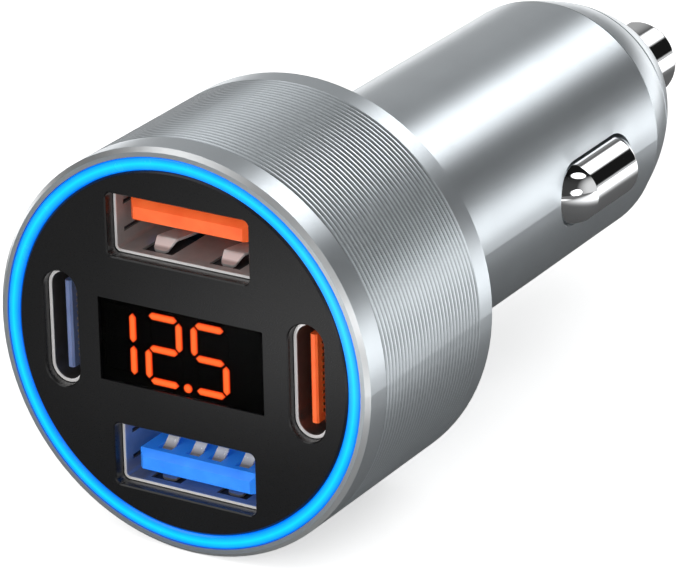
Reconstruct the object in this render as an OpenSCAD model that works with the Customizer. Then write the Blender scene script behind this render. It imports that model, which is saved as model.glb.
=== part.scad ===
// Car charger plug with four ports, a readout and a glowing ring.
// The plug's axis lies along Y. The face looks to -Y, the tip to +Y, and Z is up.
// The origin is on the axis at the shoulder, where the head meets the barrel.
// A depth is measured inwards from the front of the face.

/* [Head] */
// Radius of the head
head_r = 16.5; // [16.2:0.1:18]
// Length of the head, from its front to the shoulder
head_len = 18.9; // [18.6:0.1:22]
// Plain band in front of the grooves
front_band = 2.5; // [1:0.1:5]
// Plain band behind the grooves
rear_band = 2.15; // [1:0.05:5]
// Distance from one turned groove to the next
groove_pitch = 0.475; // [0.4:0.025:0.9]
// Depth of a turned groove
groove_depth = 0.18; // [0.08:0.01:0.25]
// Flat land between two grooves
groove_land = 0.12; // [0.06:0.01:0.2]
// Chamfer on the head's two edges
head_chamfer = 0.35; // [0.1:0.05:0.6]
// Depth of the stepped floor on which the port board stands, from the shoulder
ledge_y = 3.5; // [3:0.1:4.5]
// Thickness of the head's rear wall
rear_wall = 1.6; // [1.2:0.1:2]
// Wall of the head behind the ring
head_wall = 1.5; // [1.3:0.1:1.8]
// Width of the step that carries the port board
ledge_w = 1.4; // [0.8:0.1:1.8]

/* [Barrel] */
// Radius of the straight root of the barrel
barrel_r = 10.5; // [10.3:0.05:10.8]
// Relief of the barrel's radius beyond the root
barrel_relief = 0.05; // [0.02:0.01:0.1]
// Distance from the shoulder to the seam of the nose cap
barrel_len = 38.9; // [38.5:0.1:39.9]
// Chamfer on the barrel's end at the seam
seam_chamfer = 0.25; // [0.1:0.05:0.35]
// Wall of the barrel
barrel_wall = 1.2; // [1:0.05:1.3]

/* [Nose] */
// Length of the nose cap beyond its seam
nose_len = 8; // [7.6:0.1:8.8]
// How far the nose cap starts below the barrel's surface
nose_step = 0.12; // [0.05:0.01:0.2]
// Radius at which the nose's long arc would meet its end
nose_tip_r = 7.15; // [6.9:0.01:7.4]
// Bulge of the nose's long arc over a straight cone
nose_bulge = 0.34; // [0.2:0.02:0.5]
// Largest radius of the nose's end
nose_end_r = 7.82; // [7.7:0.02:8]
// Edge radius of the nose's end
nose_edge_r = 0.9; // [0.6:0.1:1]
// Thickness of the nose's end wall
nose_wall = 1.6; // [1.2:0.1:2]
// Distance from the seam to the fine line round the nose
line_offset = 4.4; // [3:0.1:5]
// Width of the fine line
line_w = 0.35; // [0.2:0.05:0.5]
// Length of the screwed spigot of the nose cap
spigot_len = 3.3; // [3:0.1:3.6]

/* [Tip] */
// Radius of the centre contact
tip_r = 3.38; // [3.2:0.02:3.6]
// How far the centre contact stands out of the nose
tip_out = 9.2; // [6:0.1:11]
// Edge radius of the centre contact's end
tip_edge_r = 0.45; // [0.2:0.05:1]
// Travel of the centre contact
tip_travel = 3.5; // [2:0.1:3.6]
// Radius of the flange behind the centre contact
tip_flange_r = 4.6; // [4.3:0.1:5]
// Thickness of that flange
tip_flange_t = 1.4; // [1:0.1:1.5]
// How far the insulating bush stands out of the nose
bush_out = 0.3; // [0.1:0.05:0.6]
// Wall of the insulating bush
bush_wall = 1.2; // [1:0.05:1.3]
// Radius of the flange of the insulating bush
bush_flange_r = 6.2; // [5.9:0.05:6.3]
// Thickness of the flange of the insulating bush
bush_flange_t = 1.5; // [1:0.1:1.6]
// Turns of the spring behind the centre contact
tip_spring_turns = 9; // [6:1:10]
// Radius of that spring at the middle of its wire
tip_spring_r = 2.6; // [2.5:0.05:2.7]
// Radius of the wire of that spring
tip_wire_r = 0.25; // [0.2:0.01:0.28]

/* [Ground contacts] */
// Distance from the slot's rear end to the seam of the nose cap
slot_end_gap = 4.8; // [4.6:0.05:5.1]
// Straight root of the barrel ends this far before a contact's slot
root_gap = 0.75; // [0.5:0.05:1]
// Length of a contact's slot
slot_len = 12.35; // [12:0.05:12.8]
// Width of a contact's slot
slot_w = 5.6; // [5:0.1:5.8]
// How far a contact stands out of the barrel
contact_out = 2; // [1.8:0.05:2.1]
// Distance from a contact's end to the crease where its domed end starts
contact_end = 2.4; // [2.2:0.05:2.6]
// Radius of the domed ends along a contact
dome_r = 5.9; // [5.6:0.1:6.4]
// Slope of a domed end at its crease
dome_slope = 25; // [20:1:28]
// Radius of the crease between a contact's bar and its domed ends
crease_r = 1.5; // [1:0.1:1.8]
// Travel of a contact
contact_travel = 2; // [1.8:0.05:2.1]
// Sheet thickness of a contact
contact_wall = 0.5; // [0.4:0.05:0.6]
// How far a contact's flange reaches beyond its slot
flange_lap = 0.5; // [0.3:0.05:0.6]
// Thickness of a contact's flange at its edges
flange_t = 1; // [0.7:0.05:1.1]
// Turns of the spring under a contact
ground_spring_turns = 4; // [3:1:5]
// Radius of that spring at the middle of its wire
ground_spring_r = 1.5; // [1.3:0.05:1.6]
// Radius of the wire of that spring
ground_wire_r = 0.2; // [0.15:0.01:0.24]

/* [Ring and face plate] */
// Width of the metal rim round the glowing ring
rim_w = 0.7; // [0.5:0.05:0.9]
// Visible width of the glowing ring
ring_w = 1.05; // [0.9:0.05:1.1]
// Depth of the glowing ring's front band
ring_depth = 3.15; // [2.6:0.05:4]
// Wall of the light guide behind the ring
guide_wall = 0.8; // [0.7:0.05:0.85]
// Thickness of the face plate
plate_t = 1.6; // [1.3:0.1:1.8]
// Chamfer round the holes of the face plate
hole_chamfer = 0.1; // [0.05:0.05:0.25]

/* [Wide ports] */
// Distance from the upper wide port's outer corners to the edge of the face plate
upper_port_edge = 1.086; // [1.04:0.002:1.2]
// Distance from the lower wide port's outer corners to the edge of the face plate
lower_port_edge = 1.158; // [1.04:0.002:1.2]
// Width of a wide port's shell
wide_w = 12.55; // [12.4:0.01:12.7]
// Height of a wide port's shell
wide_h = 5.05; // [4.8:0.01:5.1]
// Sheet thickness of a wide port's shell
wide_sheet = 0.2; // [0.15:0.01:0.3]
// Corner radius of a wide port's shell
wide_corner = 0.5; // [0.4:0.05:0.8]
// Depth of the front edge of a wide port's shell
wide_recess = 1.1; // [0.8:0.05:1.3]
// Gap between a wide port's tongue and the shell's side walls
wide_tongue_side = 0.775; // [0.6:0.025:1]
// Thickness of a wide port's tongue
wide_tongue_t = 1.6; // [1.5:0.05:1.8]
// Depth of the front of a wide port's tongue
wide_tongue_recess = 1.55; // [1.4:0.05:2]
// Gap between a wide port's tongue and the wall behind it
wide_tongue_gap = 0.65; // [0.55:0.05:0.7]
// Bevel on the upper front edge of a wide port's tongue
wide_bevel = 0.52; // [0.4:0.02:0.7]
// Distance between a wide port's inner contacts, from middle to middle
wide_inner_pitch = 2; // [1.9:0.05:2.2]
// Distance between a wide port's outer contacts, from middle to middle
wide_outer_pitch = 7; // [6.8:0.05:7.2]
// Width of a wide port's contact
wide_contact_w = 1; // [0.8:0.05:1.1]
// Distance between the two spring tabs, from middle to middle
tab_pitch = 6; // [5:0.1:6.4]
// Width of a spring tab at its root
tab_w = 1.8; // [1.2:0.1:2]
// Width of a spring tab at its tip
tab_tip_w = 1.3; // [1:0.05:1.6]
// Distance from a spring tab's tip to its crest
tab_crest = 1; // [0.8:0.05:1.3]
// Gap cut round a spring tab
tab_gap = 0.45; // [0.3:0.05:0.5]
// Length of a spring tab
tab_len = 6.2; // [5:0.1:6.6]
// Depth of a spring tab's tip behind the shell's front edge
tab_set_back = 1.2; // [0.8:0.1:2]
// How far a spring tab bows into the port on the side that is free
tab_rise = 0.7; // [0.4:0.05:0.8]
// How far a spring tab bows into the port on the tongue's side
near_tab_rise = 0.3; // [0.2:0.05:0.3]

/* [Small ports] */
// Distance from the left small port's round ends to the edge of the face plate
left_port_edge = 1.838; // [1.6:0.002:1.88]
// Distance from the right small port's round ends to the edge of the face plate
right_port_edge = 1.598; // [1.56:0.002:1.84]
// Width of a small port's shell
small_w = 3; // [2.9:0.02:3.06]
// Height of a small port's shell
small_h = 9.4; // [9:0.02:9.5]
// Sheet thickness of a small port's shell
small_sheet = 0.25; // [0.2:0.01:0.3]
// Depth of the front edge of a small port's shell
small_recess = 0.8; // [0.6:0.05:1]
// Thickness of a small port's tongue
small_tongue_t = 0.6; // [0.5:0.02:0.7]
// Gap between a small port's tongue and the shell's round ends
small_tongue_end = 0.85; // [0.7:0.05:1]
// Depth of the front of a small port's tongue
small_tongue_recess = 1.1; // [1:0.05:1.6]
// Distance from one contact pad to the next
pad_pitch = 0.5; // [0.45:0.01:0.52]

/* [Display] */
// Width of the display window
window_w = 14.6; // [14:0.1:15]
// Height of the display window
window_h = 6.7; // [6.4:0.1:7]
// Thickness of the display window
window_t = 0.3; // [0.2:0.05:0.4]
// Distance from one digit to the next
digit_pitch = 4.15; // [4:0.05:4.3]
// Place of the middle digit across the face
digit_x = -1.75; // [-1.8:0.05:-1.5]
// Height of the digits' middle on the face
digit_z = -0.12; // [-0.2:0.02:0.1]
// Width of a digit between the middles of its upright bars
digit_w = 2.8; // [2.6:0.05:2.9]
// Height of a digit between the middles of its level bars
digit_h = 5.34; // [5:0.02:5.4]
// Thickness of a digit's bars
bar_t = 0.55; // [0.45:0.05:0.65]
// Gap between two bars' points, twice over
bar_gap = 0.3; // [0.2:0.02:0.4]

/* [Boards] */
// Thickness of the two boards
board_t = 1.2; // [1:0.1:1.4]
// Distance from the main board's long edges to the barrel's bore
board_edge = 0.88; // [0.6:0.02:1.2]
// Distance from the main board's end to a contact's slot
board_end_gap = 1.55; // [1.3:0.05:2.5]
// Thickness of the port frame
frame_t = 4.05; // [3.5:0.05:5]
// Distance from a frame post to the port frame's edge
post_edge = 0.375; // [0.3:0.005:0.5]
// Angle of a frame post above the level line through the plug's middle
post_angle = 42.34; // [41.5:0.01:43]
// Radius of a frame post
post_r = 1.35; // [1.2:0.05:1.4]
// Radius of a board screw's shank
screw_r = 0.7; // [0.6:0.05:0.8]
// Distance from the capacitors to the barrel's bore
can_gap = 0.607; // [0.4:0.001:1]
// Distance from the plug's middle plane to the side of a capacitor
can_side = 1.05; // [0.8:0.05:1.2]
// Length of the input capacitor
input_can_len = 11; // [9:0.5:12]
// Length of the output capacitor
output_can_len = 9; // [7:0.5:10]
// Height of the inductor
inductor_h = 4.2; // [3.6:0.1:4.6]
// Distance from the inductor's side to the long edge of the board
inductor_edge = 1; // [0.8:0.05:1.4]
// Distance from the chips' legs to the long edge of the board
chip_edge = 1.1; // [0.8:0.05:1.4]
// Number of light diodes
led_count = 8; // [8:1:8]

/* [Fits] */
// Gap between pieces that are placed in or on each other
fit = 0.05; // [0.03:0.01:0.07]
// Gap round the moving contacts
slide_fit = 0.07; // [0.05:0.01:0.1]
// Gap between a ground contact and the edge of its slot
slot_gap = 0.3; // [0.2:0.05:0.4]
// Room left under a ground contact when it is pressed in
press_gap = 0.3; // [0.2:0.05:0.5]

/* [Hidden] */

face = -head_len;
eps = 0.01;

// Head
groove_count = round((head_len - front_band - rear_band) / groove_pitch);
groove_start = face + front_band;
rim_r = head_r - rim_w;
rim_depth = ring_depth + fit;
cavity_r = head_r - head_wall;
ledge_r = cavity_r - ledge_w;

// Barrel and nose
bore_r = barrel_r - barrel_wall;
relief_r = barrel_r - barrel_relief;
slot_end = barrel_len - slot_end_gap;
slot_y = slot_end - slot_len;
root_len = slot_y - root_gap;
seam_y = barrel_len;
nose_y = seam_y + nose_len;
nose_root_r = relief_r - nose_step;
nose_drop = nose_root_r - nose_tip_r;
nose_chord = sqrt(nose_len * nose_len + nose_drop * nose_drop);
nose_arc_r = nose_chord * nose_chord / (8 * nose_bulge) + nose_bulge / 2;
nose_arc_x = (nose_root_r + nose_tip_r) / 2 - (nose_arc_r - nose_bulge) * nose_len / nose_chord;
nose_arc_y = (seam_y + nose_y) / 2 - (nose_arc_r - nose_bulge) * nose_drop / nose_chord;
seam_v = 0.13;
spigot_r = bore_r - fit;
spigot_wall = 1.05;
spigot_y = seam_y - spigot_len;
nose_inner_y = nose_y - nose_wall;
nose_bore_y = nose_inner_y - 3.3;
line_y = seam_y + line_offset;
line_depth = 0.15;

// Centre contact and its bush
bush_bore_r = tip_r + slide_fit;
bush_r = bush_bore_r + bush_wall;
bush_y = nose_inner_y - fit;
bush_end = bush_y - bush_flange_t;
tip_y = nose_y + tip_out;
tip_flange_y = bush_end - fit;
tip_back = tip_flange_y - tip_flange_t;
tip_boss_r = 2;
tip_boss_len = 1.6;

// Contact carrier
main_end = slot_y - board_end_gap;
carrier_y = main_end - 1.2;
carrier_r = bore_r - 3 * fit;
carrier_neck_y = spigot_y - 6 * fit;
carrier_neck_r = spigot_r - spigot_wall - 3 * fit;
carrier_end = tip_back - tip_travel - 8 * fit;
spring_bore_r = tip_spring_r + tip_wire_r + 0.35;
spring_seat_y = slot_y + 4.25;
lead_hole_r = 1.5;
terminal_t = 0.3;
leg_on_board = 3;

// Ground contacts, worked out for the one on the +X side
slot_r = slot_w / 2;
bar_r = slot_r - slot_gap;
bar_y = slot_y + slot_r;
bar_start = bar_y - bar_r;
bar_end = slot_end - slot_gap;
dome_x = bar_r - dome_r * cos(dome_slope);
dome_run = sqrt(pow(dome_r - crease_r, 2) - pow(bar_r - crease_r - dome_x, 2));
crease_x = bar_r - crease_r;
crease_y = dome_r * sin(dome_slope) - dome_run;
touch_x = dome_x + dome_r * (crease_x - dome_x) / (dome_r - crease_r);
touch_y = dome_r * sin(dome_slope) - dome_r * dome_run / (dome_r - crease_r);
collar_r = relief_r - slide_fit;
bar_x = barrel_r + contact_out - bar_r;
flange_r = bore_r - slide_fit - 0.03;
flange_w = slot_w + 2 * flange_lap;
flange_y = slot_y - flange_lap;
flange_len = slot_len + 2 * flange_lap;
flange_edge_x = sqrt(flange_r * flange_r - flange_w * flange_w / 4);
flange_x = flange_edge_x - flange_t;
spring_x = flange_x - contact_travel - press_gap;
pocket_x = spring_x - terminal_t;
pocket_gap = 0.1;
spring_reach = ground_spring_r + ground_wire_r + fit;
spring_top = bar_x + sqrt(pow(bar_r - contact_wall, 2) - pow(spring_reach, 2));
spring_y = (bar_y + bar_end) / 2;

// Ring, plate and frame
ring_r = rim_r - fit;
ring_inner_r = ring_r - ring_w;
plate_r = ring_inner_r - fit;
guide_r = cavity_r - 3 * fit;
guide_inner_r = guide_r - guide_wall;
step_depth = plate_t + fit;
frame_r = guide_inner_r - 3 * fit;
frame_depth = step_depth;
frame_end = frame_depth + frame_t;
post_ring_r = frame_r - post_r - post_edge;

// Boards
board_r = cavity_r - 3 * fit;
board_back = -ledge_y;
board_front = board_back - board_t;
led_size = [1.6, 0.8, 0.8];
guide_end = board_front - led_size[1] - 5 * fit;
led_ring_r = guide_r - guide_wall / 2;
main_front = board_back + fit;
main_w = 2 * (sqrt(bore_r * bore_r - board_t * board_t / 4) - board_edge);
board_tab_x = 5;
board_tab_w = 3;
on_board = board_t / 2 + fit;
can_reach = bore_r - can_gap;
can_sum = can_side + on_board + can_reach;
can_r = sqrt(can_sum * can_sum + can_reach * can_reach - can_side * can_side - on_board * on_board)
        - can_sum;
can_x = can_side + can_r;
large_chip = [5, 6, 1.4];
small_chip = [4, 5, 1.2];
chip_x = main_w / 2 - chip_edge - large_chip[0] / 2 - 0.8;
large_chip_y = main_end - 8.2;
small_chip_y = large_chip_y - (large_chip[1] + small_chip[1]) / 2 - 0.5;

// Ports
upper_port_z = sqrt(pow(plate_r - upper_port_edge, 2) - wide_w * wide_w / 4) - wide_h / 2;
lower_port_z = wide_h / 2 - sqrt(pow(plate_r - lower_port_edge, 2) - wide_w * wide_w / 4);
small_end_z = (small_h - small_w) / 2;
left_port_x = -sqrt(pow(plate_r - left_port_edge - small_w / 2, 2) - small_end_z * small_end_z);
right_port_x = sqrt(pow(plate_r - right_port_edge - small_w / 2, 2) - small_end_z * small_end_z);
wide_hole_w = wide_w + 2 * fit;
wide_hole_h = wide_h + 2 * fit;
wide_inner_w = wide_w - 2 * wide_sheet;
wide_inner_h = wide_h - 2 * wide_sheet;
wide_tongue_w = wide_inner_w - 2 * wide_tongue_side;
small_tongue_h = small_h - 2 * small_sheet - 2 * small_tongue_end;
small_hole_w = small_w + 2 * fit;
small_hole_h = small_h + 2 * fit;
shell_back = board_front - 0.5;
leg_end = board_back + 0.4;
base_back = board_front - fit;
base_len = 3.7;
small_base_len = 4.4;

// Distances of a wide port's contacts from its middle, and their slots in the tongue
wide_contact_x = [-wide_outer_pitch / 2, -wide_inner_pitch / 2,
                  wide_inner_pitch / 2, wide_outer_pitch / 2];
wide_slot_depth = 0.55;
wide_slot_front = 2.6;
wide_contact_t = 0.18;
wide_contact_bow = 4;
tongue_top = wide_inner_h / 2 - wide_tongue_gap - wide_tongue_t;
contact_seat = tongue_top + wide_slot_depth - fit;
contact_front = face + wide_slot_front + 2 * fit;

// Display
module_depth = 2 * fit + window_t + 0.1;
module_len = 6;
module_w = window_w + 0.6;
module_h = window_h + 0.9;
bar_front = module_depth - 0.1;
pin_r = 0.22;
pin_pitch = 2.16;
pin_row_z = 2.9;

// A solid turned about the plug's axis, from an outline of [radius, y]
module turned(fn = 128) {
    rotate([-90, 0, 0]) rotate_extrude($fn = fn) children();
}

// An outline of [x, z] extruded along Y
module along_y(from, to) {
    translate([0, from, 0])
        rotate([90, 0, 0])
            mirror([0, 0, 1])
                linear_extrude(to - from) children();
}

// An outline of [y, z] extruded along X
module along_x(from, to) {
    translate([from, 0, 0])
        rotate([90, 0, 90])
            linear_extrude(to - from) children();
}

// A rectangle with round corners, about the origin
module round_rect(w, h, r) {
    square([w - 2 * r, h], center = true);
    square([w, h - 2 * r], center = true);
    for (x = [-1, 1], z = [-1, 1])
        translate([x * (w / 2 - r), z * (h / 2 - r)]) circle(r, $fn = 32);
}

// An upright slot with full-round ends, about the origin
module upright_slot(w, h) {
    square([w, h - w], center = true);
    for (z = [-1, 1])
        translate([0, z * (h - w) / 2]) circle(w / 2, $fn = 48);
}

// A ground contact's slot outline of [y, z], with its ends at from and to
module level_slot(from, to, r) {
    translate([from + r, -r]) square([to - from - 2 * r, 2 * r]);
    for (y = [from + r, to - r])
        translate([y, 0]) circle(r, $fn = 64);
}

// A round wire coiled about Z, from z = 0 up to len
module coil(r, wire_r, len, turns, steps = 14, sides = 6) {
    count = turns * steps;
    climb = len - 2 * wire_r;
    function ring(i) = [for (s = [0:sides - 1])
        let (turn = 360 * i / steps, a = 360 * s / sides, q = r + wire_r * cos(a))
        [q * cos(turn), q * sin(turn), wire_r + climb * i / count + wire_r * sin(a)]];
    points = [for (i = [0:count]) each ring(i)];
    sides_faces = [for (i = [0:count - 1], s = [0:sides - 1])
        [i * sides + s, i * sides + (s + 1) % sides,
         (i + 1) * sides + (s + 1) % sides, (i + 1) * sides + s]];
    start_face = [for (s = [sides - 1:-1:0]) s];
    end_face = [for (s = [0:sides - 1]) count * sides + s];
    polyhedron(points, concat(sides_faces, [start_face], [end_face]), convexity = 10);
}

// The part of the nose's long arc between two distances from the shoulder
module nose_arc(from, to) {
    intersection() {
        translate([nose_arc_x, nose_arc_y]) circle(nose_arc_r, $fn = 360);
        translate([0, from]) square([head_r, to - from]);
    }
}

// The head's outline of [radius, y], with its turned grooves
module head_outline() {
    groove_half = (groove_pitch - groove_land) / 2;
    grooves = [for (i = [0:groove_count - 1])
        let (y = groove_start + i * groove_pitch)
        each [[head_r, y + groove_land / 2],
              [head_r - groove_depth, y + groove_land / 2 + groove_half],
              [head_r, y + groove_land / 2 + 2 * groove_half]]];
    polygon(concat(
        [[0, face], [head_r - head_chamfer, face], [head_r, face + head_chamfer]],
        grooves,
        [[head_r, -head_chamfer], [head_r - head_chamfer, 0], [0, 0]]));
}

// Turned aluminium head and barrel in one piece
module housing() {
    color("#a3a8ab")
    difference() {
        turned() difference() {
            union() {
                head_outline();
                translate([0, -eps]) square([barrel_r, root_len + eps]);
                polygon([[0, root_len], [barrel_r, root_len], [relief_r, slot_end],
                         [relief_r, seam_y - seam_chamfer], [relief_r - seam_chamfer, seam_y], [0, seam_y]]);
            }
            translate([0, face - 1]) square([rim_r, rim_depth + 1]);
            translate([0, face]) square([cavity_r, head_len - ledge_y]);
            translate([0, -ledge_y - 1]) square([ledge_r, 1 + ledge_y - rear_wall]);
            translate([0, -ledge_y]) square([bore_r, ledge_y + seam_y + 1]);
        }
        along_x(-head_r, head_r) level_slot(slot_y, slot_end, slot_r);
    }
}

// Turned aluminium cap screwed into the barrel's end
module nose_cap() {
    color("#9da2a5")
    turned() difference() {
        union() {
            intersection() {
                nose_arc(seam_y, nose_y);
                union() {
                    square([nose_end_r - nose_edge_r, nose_y]);
                    square([barrel_r, nose_y - nose_edge_r]);
                    translate([nose_end_r - nose_edge_r, nose_y - nose_edge_r])
                        circle(nose_edge_r, $fn = 48);
                }
            }
            translate([0, spigot_y]) square([spigot_r, spigot_len + eps]);
        }
        translate([0, spigot_y - 1]) square([spigot_r - spigot_wall, nose_bore_y - spigot_y + 1]);
        translate([0, spigot_y]) square([bush_flange_r + 3 * fit, nose_inner_y - spigot_y]);
        translate([0, spigot_y]) square([bush_r + fit, nose_y]);
        polygon([[nose_root_r - seam_v, seam_y - eps], [nose_root_r + 2 * seam_v, seam_y - eps],
                 [nose_root_r + 2 * seam_v, seam_y + 3 * seam_v]]);
        line_groove();
    }
}

// The fine line cut round the nose, as an outline of [radius, y]
module line_groove() {
    surface_r = nose_arc_x + sqrt(nose_arc_r * nose_arc_r - pow(line_y - nose_arc_y, 2));
    polygon([[surface_r - line_depth, line_y], [surface_r + line_depth, line_y - line_w],
             [surface_r + line_depth, line_y + line_w]]);
}

// Moulded bush that keeps the centre contact clear of the metal nose
module tip_insulator() {
    color("#2a2b2d")
    turned(96) difference() {
        union() {
            translate([0, bush_end]) square([bush_flange_r, bush_flange_t]);
            translate([0, bush_end]) square([bush_r, nose_y + bush_out - bush_end]);
        }
        translate([0, bush_end - 1]) square([bush_bore_r, nose_y]);
    }
}

// Turned pin with a flange that stops against the bush
module centre_contact() {
    color("#e6e8ea")
    turned(96) union() {
        translate([0, tip_back]) square([tip_flange_r, tip_flange_t]);
        translate([0, tip_back - tip_boss_len]) square([tip_boss_r, tip_boss_len + eps]);
        translate([0, tip_flange_y - eps]) square([tip_r, tip_y - tip_edge_r - tip_flange_y + eps]);
        translate([0, tip_back]) square([tip_r - tip_edge_r, tip_y - tip_back]);
        translate([tip_r - tip_edge_r, tip_y - tip_edge_r]) circle(tip_edge_r, $fn = 32);
    }
}

// Coil spring between the carrier and the centre contact's flange
module tip_spring() {
    from = spring_seat_y + terminal_t;
    color("#c9ccd0")
    translate([0, from, 0]) rotate([-90, 0, 0])
        coil(tip_spring_r, tip_wire_r, tip_back - from, tip_spring_turns);
}

// Brass cup under the tip spring, with its leg on the main board
module tip_terminal() {
    leg_y = main_end - leg_on_board;
    leg_w = 1.2;
    color("#c9a557")
    union() {
        turned(64) translate([0, spring_seat_y]) square([spring_bore_r - 2 * fit, terminal_t]);
        translate([-leg_w / 2, leg_y, on_board])
            cube([leg_w, spring_seat_y - leg_y + eps, terminal_t]);
    }
}

// Moulded block that guides the ground contacts and holds the tip spring
module contact_carrier() {
    pocket_y = flange_y - pocket_gap;
    pocket_len = flange_len + 2 * pocket_gap;
    pocket_w = flange_w + 2 * pocket_gap;
    board_slot_w = main_w + 4 * fit;
    board_slot_t = board_t + 4 * fit;
    strip_w = 1.2;
    color("#3b3d40")
    difference() {
        turned(128) union() {
            translate([0, carrier_y]) square([carrier_r, carrier_neck_y - carrier_y]);
            translate([0, carrier_y]) square([carrier_neck_r, carrier_end - carrier_y]);
        }
        turned(64) translate([0, spring_seat_y]) square([spring_bore_r, carrier_end]);
        turned(48) translate([0, carrier_y - 1]) square([lead_hole_r, spring_seat_y - carrier_y + 2]);
        translate([-board_slot_w / 2, carrier_y - 1, -board_slot_t / 2])
            cube([board_slot_w, main_end - carrier_y + 1 + 4 * fit, board_slot_t]);
        for (side = [-1, 1])
            scale_x(side) {
                translate([pocket_x, pocket_y, -pocket_w / 2])
                    cube([carrier_r, pocket_len, pocket_w]);
                translate([pocket_x - fit, carrier_y - 1, board_t / 2])
                    cube([terminal_t + 2 * fit, pocket_y - carrier_y + 2, strip_w + 2 * fit]);
            }
    }
}

// The children as they are for side 1, or mirrored to the -X side for side -1
module scale_x(side) {
    if (side > 0)
        children();
    else
        mirror([1, 0, 0]) children();
}

// One domed end of a ground contact as an outline of [radius, y], from its crease at y = 0 forwards
module dome_outline() {
    intersection() {
        translate([dome_x, dome_r * sin(dome_slope)]) circle(dome_r, $fn = 240);
        translate([0, -contact_end - 1]) square([touch_x, contact_end + 1 + touch_y]);
    }
    translate([0, touch_y - eps]) square([crease_x, crease_y - touch_y + 2 * eps]);
    intersection() {
        translate([crease_x, crease_y]) circle(crease_r, $fn = 120);
        translate([0, touch_y]) square([bar_r, crease_y - touch_y]);
    }
}

// Chromed half-round bar with two domed ends and a flange under the barrel's wall
module ground_contact(side) {
    hollow_r = bar_r - contact_wall;
    front_crease = bar_start + contact_end;
    rear_crease = bar_end - contact_end;
    color("#e6e8ea")
    scale_x(side)
    difference() {
        union() {
            intersection() {
                translate([bar_x, 0, 0]) turned(96) union() {
                    translate([0, front_crease]) dome_outline();
                    translate([0, rear_crease]) mirror([0, 1]) dome_outline();
                    translate([0, front_crease + crease_y - eps])
                        square([bar_r, rear_crease - front_crease - 2 * crease_y + 2 * eps]);
                }
                along_x(bar_x - 1, barrel_r + contact_out + 1) level_slot(bar_start, bar_end, bar_r);
            }
            intersection() {
                turned(128) translate([0, bar_start - 1]) square([collar_r, bar_end - bar_start + 2]);
                along_x(flange_x, barrel_r + 1) level_slot(bar_start, bar_end, bar_r);
            }
            intersection() {
                turned(128) translate([0, flange_y]) square([flange_r, flange_len]);
                translate([flange_x, flange_y, -flange_w / 2])
                    cube([flange_r, flange_len, flange_w]);
            }
        }
        along_x(flange_x - 1, bar_x + eps)
            level_slot(bar_y - hollow_r, bar_end - contact_wall, hollow_r);
        translate([bar_x, bar_y, 0]) rotate([-90, 0, 0])
            cylinder(r = hollow_r, h = bar_end - contact_wall - hollow_r - bar_y, $fn = 64);
    }
}

// Coil spring under a ground contact
module ground_spring(side) {
    color("#c9ccd0")
    scale_x(side)
        translate([spring_x, spring_y, 0]) rotate([0, 90, 0])
            coil(ground_spring_r, ground_wire_r, spring_top - spring_x, ground_spring_turns);
}

// Brass strip under a ground spring, with its leg on the main board
module ground_terminal(side) {
    strip_w = 1.2;
    strip_y = flange_y;
    leg_y = main_end - leg_on_board;
    color("#c9a557")
    scale_x(side)
    union() {
        translate([pocket_x, strip_y, -ground_spring_r - ground_wire_r])
            cube([terminal_t, spring_y + ground_spring_r + 1 - strip_y, 2 * (ground_spring_r + ground_wire_r)]);
        translate([pocket_x, leg_y, on_board])
            cube([terminal_t, strip_y - leg_y + eps, strip_w]);
    }
}

// Board that runs down the barrel, with two tabs through the port board
module main_board() {
    color("#1f6b3a")
    translate([0, 0, -board_t / 2])
        linear_extrude(board_t) union() {
            translate([-main_w / 2, main_front]) square([main_w, main_end - main_front]);
            for (x = [-board_tab_x, board_tab_x])
                translate([x - board_tab_w / 2, board_front - 0.4])
                    square([board_tab_w, main_front - board_front + 0.4 + eps]);
        }
}

// Shielded power inductor
module inductor() {
    side_gap = 0.4;
    cap_t = 0.8;
    size = main_w / 2 - inductor_edge - side_gap;
    color("#4a4b4d")
    translate([-side_gap - size / 2, main_end - size, on_board])
    union() {
        linear_extrude(inductor_h - cap_t) round_rect(size, size, 1);
        translate([0, 0, inductor_h - cap_t - eps]) cylinder(r = size / 2 - 0.3, h = cap_t, $fn = 64);
    }
}

// Tall round capacitor lying on the main board
module can_capacitor(x, y, z, r, len) {
    translate([x, y, z]) turned(64) difference() {
        square([r, len]);
        translate([r - 0.25, 1.5]) square([1, 0.5]);
    }
}

// Input capacitor above the main board
module input_capacitor() {
    color("#20242a") can_capacitor(can_x, main_front + 2.25, on_board + can_r, can_r, input_can_len);
}

// Output capacitor below the main board
module output_capacitor() {
    color("#20242a") can_capacitor(-can_x, main_front + 5.45, -on_board - can_r, can_r, output_can_len);
}

// Flat chip with two rows of legs, on a board's face, the legs along the y direction
module chip(size, legs) {
    leg_pitch = size[1] / legs;
    leg_out = 0.8;
    union() {
        translate([-size[0] / 2, -size[1] / 2, 0.1]) cube(size);
        for (i = [0:legs - 1])
            translate([-size[0] / 2 - leg_out, -size[1] / 2 + (i + 0.3) * leg_pitch, 0])
                cube([size[0] + 2 * leg_out, 0.4 * leg_pitch, 0.3]);
    }
}

// Large power chip below the main board
module power_chip_large() {
    color("#26282b")
    translate([chip_x, large_chip_y, -on_board]) mirror([0, 0, 1]) chip(large_chip, 4);
}

// Small power chip below the main board
module power_chip_small() {
    color("#26282b")
    translate([chip_x, small_chip_y, -on_board]) mirror([0, 0, 1]) chip(small_chip, 4);
}

// Places of the four frame posts
module at_posts() {
    for (x = [-1, 1], z = [-1, 1])
        translate([x * post_ring_r * cos(post_angle), 0, z * post_ring_r * sin(post_angle)]) children();
}

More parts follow.
